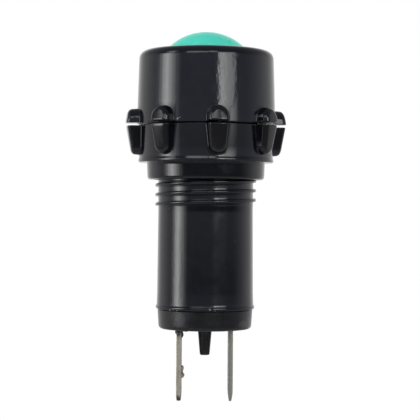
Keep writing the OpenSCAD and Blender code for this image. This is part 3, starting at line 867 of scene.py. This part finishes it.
@dataclass
class Housing:
    """The barrel with its panel thread, its flared foot and the flash bead round the foot."""

    pitch: float = 1.5
    crest_r: float = 8.0
    crest_half: float = 0.36
    crest_power: float = 2.4
    root_reach: float = 0.06
    root_rise: float = 0.04
    fade_h: float = 0.35
    root_r: float = 7.52
    crest_z: float = -13.335
    thread_end: float = -12.9
    barrel_r: float = 7.5
    draft: float = 0.1
    bore_r: float = 6.3
    foot_r: float = 7.66
    bead_r: float = 7.82
    bead_h: float = 0.7
    bead_half: float = 0.3
    flare_h: float = 2.0
    flare_power: float = 1.2
    columns: int = 144

    def thread_rows(self, mouth: float) -> np.ndarray:
        """Works out the helical thread.

        Rows follow the helix: row z = crest line + phase x pitch + pitch x phi / 2 pi.
        The section is a rounded crest on a flat root.  Rows past either end are clipped
        onto the end circle, and the crest fades where it starts.

        Args:
            mouth: Height of the top of the thread.

        Returns:
            Points, from the top down.
        """
        steps = np.arange(self.columns + 1)
        rising = np.array([0.06, 0.12, 0.17, 0.215, 0.25, 0.29, 0.38])
        phase = np.concatenate([[-0.5], -rising[::-1], [0.0], rising])
        offset = np.abs(phase) * self.pitch
        half = self.crest_half
        crest = np.where(offset < half, (1 - (np.clip(offset / half, 0, 1)) ** self.crest_power) ** 0.5, 0.0)
        crest = np.where(np.abs(offset - half) < self.root_reach, self.root_rise, crest)
        turns = np.arange(-1, int((mouth - self.crest_z) / self.pitch) + 2)
        line = self.crest_z + self.pitch * ((turns[:, None] * self.columns + steps) / self.columns)
        fade = np.clip((line - self.thread_end + 0.05) / self.fade_h, 0, 1)
        fade = fade * fade * (3 - 2 * fade)
        z = (line[:, None, :] + self.pitch * phase[None, :, None]).reshape(-1, steps.size)
        radius = self.root_r + (self.crest_r - self.root_r) * (crest[None, :, None] * fade[:, None, :])
        radius = radius.reshape(-1, steps.size)
        ended = (z <= self.thread_end) | (z >= mouth)
        radius = np.where(ended, self.root_r, radius)
        z = np.clip(z, self.thread_end, mouth)
        phi = 2 * np.pi * (steps % self.columns) / self.columns
        return polar(radius, phi, z)[::-1]

    def foot(self, base: float) -> list[Pair]:
        """Gives the flare and the half-round bead, down to the barrel's lower edge.

        Args:
            base: Height of the lower edge.

        Returns:
            Pairs of radius and height.
        """
        low_r = self.barrel_r + self.draft
        flare = np.linspace(0, 1, 8)[1:]
        flare_z = base + self.bead_h + self.flare_h * (1 - flare)
        turn = np.radians(np.linspace(70, -70, 9))
        bead_root = self.foot_r - 0.03
        bead_z = base + self.bead_h * 0.5 + self.bead_half * np.sin(turn)
        bead = zip(bead_root + (self.bead_r - bead_root) * np.cos(turn), bead_z)
        return [*zip(low_r + (self.foot_r - low_r) * flare**self.flare_power, flare_z), *bead]

    def build(self) -> None:
        """Makes the barrel's mesh and dresses it."""
        low, high = box_mm("housing")
        base, mouth = low[2], high[2]
        wall_end = (self.barrel_r + self.draft, base + self.bead_h + self.flare_h)
        profile = [(self.barrel_r, self.thread_end - 0.12)]
        profile += run((self.barrel_r, self.thread_end - 1), wall_end, 14)
        profile += self.foot(base)
        profile += [(self.foot_r - 0.15, base), (self.bore_r + 0.1, base), (self.bore_r, base + 0.1)]
        profile += run((self.bore_r, base + 1), (self.bore_r, mouth - 0.1), 6)
        profile += [(self.bore_r + 0.1, mouth), (self.root_r - 0.15, mouth)]
        phi = 2 * np.pi * (np.arange(self.columns + 1) % self.columns) / self.columns
        grid = np.concatenate([self.thread_rows(mouth), turned(profile, phi)])
        surface = Surface(grid, ring_columns=False)
        make_piece("barrel_moulding", [surface], BLACK_PHENOLIC, Body.ROOT, ["housing"])


@dataclass
class Lens:
    """The domed lens with its wall and its flange."""

    dome_r: float = 8.57
    wall: float = 1.1
    lens_r: float = 6.47
    flange_t: float = 1.0
    flange_r: float = 7.7

    def build(self) -> None:
        """Makes the lens's mesh and dresses it."""
        low, high = box_mm("lens")
        apex, foot = high[2], low[2]
        centre, flange = apex - self.dome_r, foot + self.flange_t
        inner_r, inner_dome = self.lens_r - self.wall, self.dome_r - self.wall
        outer_deg = math.degrees(math.acos(self.lens_r / self.dome_r))
        inner_deg = math.degrees(math.acos(inner_r / inner_dome))
        outer_z = centre + self.dome_r * math.sin(math.radians(outer_deg)) - 0.15
        inner_z = centre + inner_dome * math.sin(math.radians(inner_deg)) - 0.2
        profile = arc((0, centre), self.dome_r, 90, outer_deg, 26)
        profile += run((self.lens_r, outer_z), (self.lens_r, flange + 0.1), 4)
        profile += [(self.lens_r + 0.1, flange), (self.flange_r - 0.15, flange)]
        profile += [(self.flange_r, flange - 0.15), (self.flange_r, foot + 0.15)]
        profile += [(self.flange_r - 0.15, foot), (inner_r + 0.1, foot), (inner_r, foot + 0.1)]
        profile += run((inner_r, foot + 0.5), (inner_r, inner_z), 4)
        profile += arc((0, centre), inner_dome, inner_deg, 90, 20)
        make_piece(
            "domed_lens", [revolve(profile, 128)], LENS_PLASTIC, Body.LENS_CARRIER, ["lens"]
        )


@dataclass
class BasePlug:
    """The matt plug in the foot of the barrel, with its spigot and its nib."""

    plug_r: float = 7.5
    draft: float = 0.15
    edge_r: float = 0.6
    spigot_r: float = 6.25
    nib_root_r: float = 1.13
    nib_tip_r: float = 0.78
    nib_fillet: float = 0.3
    blade_reach: float = 11.3

    def build(self) -> None:
        """Makes the plug's mesh and dresses it."""
        low, high = box_mm("base_plug")
        foot = box_mm("housing")[0][2]
        nib, spigot = low[2], high[2]
        under = box_mm("terminal_left")[0][2] + self.blade_reach
        edge = self.plug_r - self.draft
        fillet = self.nib_fillet
        profile = [(0.0, nib), (self.nib_tip_r * 0.5, nib)]
        profile += arc((self.nib_tip_r - 0.2, nib + 0.2), 0.2, -90, 0, 5)
        profile += run((self.nib_tip_r + 0.03, nib + 0.5), (self.nib_root_r - 0.03, under - 0.4), 5)
        profile += arc((self.nib_root_r + fillet, under - fillet), fillet, 180, 90, 5)
        profile += run((2.0, under), (edge - self.edge_r - 0.2, under), 4)
        profile += arc((edge - self.edge_r, under + self.edge_r), self.edge_r, -90, 0, 8)
        profile += run((edge + 0.01, under + 0.7), (self.plug_r, foot - 0.12), 6)
        profile += [(self.plug_r - 0.08, foot), (self.spigot_r, foot)]
        profile += run((self.spigot_r, foot + 0.3), (self.spigot_r, spigot - 0.2), 3)
        profile += [(self.spigot_r - 0.2, spigot), (0.0, spigot)]
        make_piece(
            "base_plug_moulding", [revolve(profile)], MATT_PHENOLIC, Body.ROOT, ["base_plug"]
        )


@dataclass
class Blade:
    """A blade terminal: a punched strip with a tang, a wire eye and a tapered tip."""

    node: str
    name: str
    slot: str
    finish: Finish
    shoulder_z: float = -32.2
    width: float = 4.8
    tang_w: float = 3.4
    thick: float = 0.8
    tip_len: float = 1.4
    tip_t: float = 0.4
    tip_cut: float = 0.7
    eye_r: float = 0.85
    eye_z: float = -38.8
    edge_r: float = 0.1
    point_gap: float = 0.3
    corner_gap: float = 0.04

    def outline(self, top: float, foot: float) -> tuple[np.ndarray, np.ndarray]:
        """Gives the blade's outline in y and z.

        The corners are joined by straight runs with a point each point_gap, and each
        corner is drawn by two points corner_gap from it.

        Args:
            top: Height of the tang's end.
            foot: Height of the tip.

        Returns:
            The points, and the inward normal at each.
        """
        half, tang, cut = self.width / 2, self.tang_w / 2, self.tip_cut
        shoulders = [(half, self.shoulder_z), (tang, self.shoulder_z), (tang, top)]
        right = np.array([(half - cut, foot), (half, foot + cut), *shoulders])
        corners = np.concatenate([right[::-1] * (-1, 1), right])
        points = []
        for start, end in zip(corners, np.roll(corners, -1, axis=0)):
            length = np.hypot(*(end - start))
            inner = np.linspace(0, length, max(2, int(length / self.point_gap)) + 1)[1:-1]
            share = np.concatenate([[self.corner_gap], inner, [length - self.corner_gap]]) / length
            points.append(start + share[:, None] * (end - start))
        points = np.concatenate(points)
        along = np.roll(points, -1, axis=0) - np.roll(points, 1, axis=0)
        normal = np.stack([-along[:, 1], along[:, 0]], axis=1)
        return points, normal / np.hypot(normal[:, 0], normal[:, 1])[:, None]

    def build(self) -> None:
        """Makes the blade's mesh and dresses it.

        Each row is the outline drawn in towards the eye: point = eye + share x (outline -
        eye).  The rows go over the front face, round the edge, over the back face and
        through the eye.
        """
        low, high = box_mm(self.node)
        middle = (low[0] + high[0]) / 2
        outline, normal = self.outline(high[2], low[2])
        centre = np.array([0.0, self.eye_z])
        away = outline - centre
        away /= np.hypot(away[:, 0], away[:, 1])[:, None]
        eye, eye_rim = centre + self.eye_r * away, centre + (self.eye_r + self.edge_r) * away
        rim = outline + normal * self.edge_r

        def row(flat: np.ndarray, below: float) -> tuple[np.ndarray, np.ndarray]:
            """Gives a row's place in y and z, and in x: half the tapered thickness less `below`."""
            share = np.clip((flat[:, 1] - low[2]) / self.tip_len, 0, 1)
            return flat, (self.tip_t + (self.thick - self.tip_t) * share) / 2 - below

        shares = (0.0, 0.06, 0.14, 0.28, 0.5, 0.75, 1.0)
        front = [row(eye_rim + (rim - eye_rim) * share, 0.0) for share in shares]
        for turn in np.radians((30, 60, 90)):
            flat = outline + normal * self.edge_r * (1 - math.sin(turn))
            front.append(row(flat, self.edge_r * (1 - math.cos(turn))))
        flat, x = row(eye, self.edge_r)
        rows = front + [(flat, -x) for flat, x in reversed(front)] + [(flat, -x), (flat, x)]
        grid = np.stack([np.column_stack([middle + x, flat[:, 0], flat[:, 1]]) for flat, x in rows])
        make_piece(self.name, [Surface(grid)], self.finish, Body.ROOT, [self.node])


@dataclass
class WiringTraces:
    """What is left of old wiring: solder at the left eye, and pitch round the blades' roots."""

    solder: tuple[Drop, ...] = (
        ((-3.6, -0.7, -38.4), (0.3, 0.9, 0.42)),
        ((-3.58, -0.9, -39.5), (0.36, 0.8, 0.5)),
        ((-3.62, 0.2, -38.9), (0.22, 0.7, 0.3)),
    )
    pitch: tuple[Drop, ...] = (
        ((-4.05, -0.4, -32.55), (0.62, 2.5, 0.75)),
        ((-3.7, -1.6, -33.1), (0.32, 0.7, 0.55)),
        ((4.1, 0.0, -32.3), (0.58, 2.4, 0.42)),
        ((-2.9, -6.2, -32.0), (0.45, 0.4, 0.28)),
    )

    def build(self) -> None:
        """Makes both pieces and dresses them."""
        make_piece("solder_drops", [blob(*drop) for drop in self.solder], OLD_SOLDER, Body.ROOT)
        make_piece("sealing_pitch", [blob(*drop) for drop in self.pitch], PITCH, Body.ROOT)


@dataclass
class InnerParts:
    """The nodes of the frame that stay as they are and only get their finish."""

    finishes: dict[str, Finish] = field(
        default_factory=lambda: {
            "lens_gasket": GASKET_RUBBER, "panel_washer": ZINC_STEEL, "centre_contact": SPRING_BRASS,
            "contact_disc": FIBRE_BOARD, "socket_shell": SPRING_BRASS, "shell_rivets": RIVET_BRASS,
            "bulb_shell": NICKEL_BRASS, "bulb_glass": CLEAR_GLASS, "bulb_insulator": BLACK_GLASS,
            "bulb_tip": SOLDER, "bulb_bead": CLEAR_GLASS, "bulb_leads": NICKEL_WIRE,
            "bulb_filament": TUNGSTEN,
        }
    )

    def dress(self) -> None:
        """Puts each finish in the material slots of its node."""
        for node, finish in self.finishes.items():
            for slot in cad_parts[node].material_slots:
                slot.material = finish.material()
            LOG.info("%s: %s", node, finish.name)


# ---------------- studio


@dataclass(frozen=True)
class Softbox:
    """A curved light round the lamp's axis, made of upright strips side by side."""

    name: str  # name of the light
    azimuth: float  # direction of its first strip in degrees, from the camera's side to the right
    step: float  # angle from one strip to the next
    radiances: tuple[float, ...]  # brightness of each strip, where 1 is paper white
    low: float  # height of its lower edge, in metres
    high: float  # height of its upper edge
    away: float = 0.5  # distance from the axis, in metres

    def light(self) -> None:
        """Adds the strips.  A strip's power is its radiance times pi times its area."""
        width = 2 * self.away * math.tan(math.radians(self.step / 2))
        height = self.high - self.low
        for number, radiance in enumerate(self.radiances):
            data = bpy.data.lights.new(f"{self.name}_{number}", "AREA")
            data.shape, data.size, data.size_y = "RECTANGLE", width, height
            data.energy = radiance * math.pi * width * height
            light = stand(data.name, data)
            turn = math.radians(self.azimuth + number * self.step)
            middle = (self.low + self.high) / 2
            light.location = (self.away * math.sin(turn), -self.away * math.cos(turn), middle)
            light.rotation_euler = (math.radians(90), 0, turn)
            light.visible_camera = False


@dataclass
class Studio:
    """Camera, lights, surroundings and floor."""

    camera_at: Point = (0.0007, -0.240, -0.01345)  # place of the camera, in metres
    camera_roll_deg: float = -0.38  # roll of the camera
    focal: float = 129.8  # focal length, in millimetres
    sensor: float = 36.0  # width of the sensor, in millimetres
    clip: Pair = (0.005, 20.0)  # nearest and farthest distance that it sees, in metres
    paper_from: float = 0.6  # how far back a reflected direction points where the white paper starts
    paper_to: float = 1.0  # the same where the paper is fully white
    floor_z: float = -0.075  # height of the floor, in metres
    floor_rings: tuple[float, ...] = (180.0, 120.0, 60.0, 0.0)  # radii of its rings, in millimetres
    floor_lift: float = 0.45  # brightness added to the floor as the camera sees it
    softboxes: tuple[Softbox, ...] = (  # the lights
        Softbox("left_softbox", -88.0, 6.5, (0.2, 1.4, 4.0, 5.6, 3.6, 1.8, 0.5), -0.095, 0.13),
        Softbox("left_glint", -69.0, 3.0, (2.0, 5.0, 2.0), 0.006, 0.036),
        Softbox("left_upper_light", -71.0, 6.0, (1.3, 2.1, 1.9), 0.16, 0.36),
        Softbox("right_strip", 19.0, 5.0, (0.7, 5.9, 4.6, 3.3, 3.1, 2.8, 1.6), 0.014, 0.20),
        Softbox("right_upper_light", 8.5, 5.5, (2.8, 2.2), 0.18, 0.34),
        Softbox("low_top_light", -28.0, 12.5, (2.2, 2.4, 2.0), 0.15, 0.29),
    )
    front_room: Stops = (  # ramp of the room on the camera's side, from straight down to straight up
        (0.30, "#8A8A8A"), (0.44, "#505052"), (0.474, "#505052"), (0.492, "#7C7D82"), (0.505, "#95979C"),
        (0.52, "#A5A7AE"), (0.56, "#9DA2B4"), (0.60, "#8F93A4"), (0.70, "#6C6F7C"), (1.0, "#7C7D86"),
    )
    back_room: Stops = (  # the same behind the lamp
        (0.3, "#C8C8C8"), (0.55, "#DCDCDE"), (0.7, "#B0B0B4"), (1.0, "#80808A"),
    )

    def camera(self) -> None:
        """Sets the camera level with the middle of the lamp."""
        data = bpy.data.cameras.new("studio_camera")
        data.lens, data.sensor_width = self.focal, self.sensor
        data.clip_start, data.clip_end = self.clip
        camera = stand("studio_camera", data)
        camera.location = self.camera_at
        camera.rotation_euler = (math.radians(90), math.radians(self.camera_roll_deg), 0)
        bpy.context.scene.camera = camera

    def surroundings(self) -> None:
        """Makes the world white to the camera, and a room round the lamp for the rest.

        The room is a ramp over the height of the direction on the camera's side, and a
        paler one behind the lamp.  Reflections that look straight back, and all that is
        seen through glass, meet the same white paper as the camera.
        """
        world = bpy.data.worlds.new("studio_world")
        bpy.context.scene.world = world
        graph = Graph(world, "Generated")
        along = graph.put("SeparateXYZ", {0: graph.place})
        back = along.outputs["Y"]
        inputs = {"Value": along.outputs["Z"], "From Min": -1.0, "From Max": 1.0}
        rise = graph.put("MapRange", inputs)
        rooms = [graph.put("ValToRGB", {"Fac": rise}, stops) for stops in (self.front_room, self.back_room)]
        inputs = {"Value": back, "From Min": ROOM_BLEND[0], "From Max": ROOM_BLEND[1]}
        behind = graph.put("MapRange", inputs, interpolation_type="SMOOTHSTEP")
        room = graph.put("Mix", {0: behind, 6: rooms[0], 7: rooms[1]}, data_type="RGBA").outputs[2]
        inputs = {"Value": back, "From Min": self.paper_from, "From Max": self.paper_to}
        paper = graph.put("MapRange", inputs, interpolation_type="SMOOTHSTEP")
        rays = graph.put("LightPath").outputs
        seen = graph.put("Math", {0: rays["Is Glossy Ray"], 1: paper}, operation="MULTIPLY")
        for kind in ("Is Camera Ray", "Is Transmission Ray"):
            seen = graph.put("Math", {0: seen, 1: rays[kind]}, operation="MAXIMUM")
        mixed = graph.put("Mix", {0: seen, 6: room, 7: WHITE}, data_type="RGBA").outputs[2]
        background = graph.put("Background", {"Color": mixed, "Strength": 1.0})
        graph.put("OutputWorld", {"Surface": background})

    def floor(self) -> None:
        """Lays a round pale floor that fades into the white at its rim and is clear from below."""
        rings = [(radius, 0.0) for radius in self.floor_rings]
        mesh = mesh_of("studio_floor", [Surface(revolve(rings, 96).grid, ring_rows=False)])
        floor = stand("studio_floor", mesh)
        floor.location.z = self.floor_z
        material = bpy.data.materials.new("pale_floor_paper")
        graph = Graph(material)
        far = graph.put("VectorMath", {0: graph.place}, operation="LENGTH").outputs["Value"]
        inputs = {"Value": far, "From Min": FLOOR_FADE_M[0], "From Max": FLOOR_FADE_M[1]}
        fade = graph.put("MapRange", inputs, interpolation_type="SMOOTHSTEP")
        under = graph.put("NewGeometry").outputs["Backfacing"]
        hidden = graph.put("Math", {0: fade, 1: under}, operation="MAXIMUM")
        seen = graph.put("LightPath").outputs["Is Camera Ray"]
        lift = graph.put("Math", {0: seen, 1: self.floor_lift}, operation="MULTIPLY")
        paper = graph.put("BsdfDiffuse", {"Color": linear_rgba("#F2F2F2")})
        painted_glow = graph.put("Emission", {"Strength": lift})
        pale = graph.put("AddShader", {0: paper, 1: painted_glow})
        both = graph.put("MixShader", {0: hidden, 1: pale, 2: graph.put("BsdfTransparent")})
        graph.put("OutputMaterial", {"Surface": both})
        mesh.materials.append(material)

    def build(self) -> None:
        """Sets up the whole studio."""
        bpy.context.scene.view_settings.view_transform = "Standard"
        self.camera()
        for softbox in self.softboxes:
            softbox.light()
        self.surroundings()
        self.floor()
        LOG.info("studio: camera at %s, %d softboxes", self.camera_at, len(self.softboxes))


def main() -> None:
    """Builds the studio and the pieces in order, and dresses the inner parts."""
    logging.basicConfig(level=logging.INFO, format="%(message)s")
    left_blade = Blade("terminal_left", "left_blade", "tarnished_tin", TARNISHED_TIN, tip_t=0.62, tip_len=0.9)
    right_blade = Blade("terminal_right", "right_blade", "tin_plate", TIN_PLATE)
    mouldings = (ScrewCap(), MountingNut(), Housing(), Lens(), BasePlug())
    for part in (Studio(), *mouldings, left_blade, WiringTraces(), right_blade):
        part.build()
    InnerParts().dress()


if __name__ == "__main__":
    main()
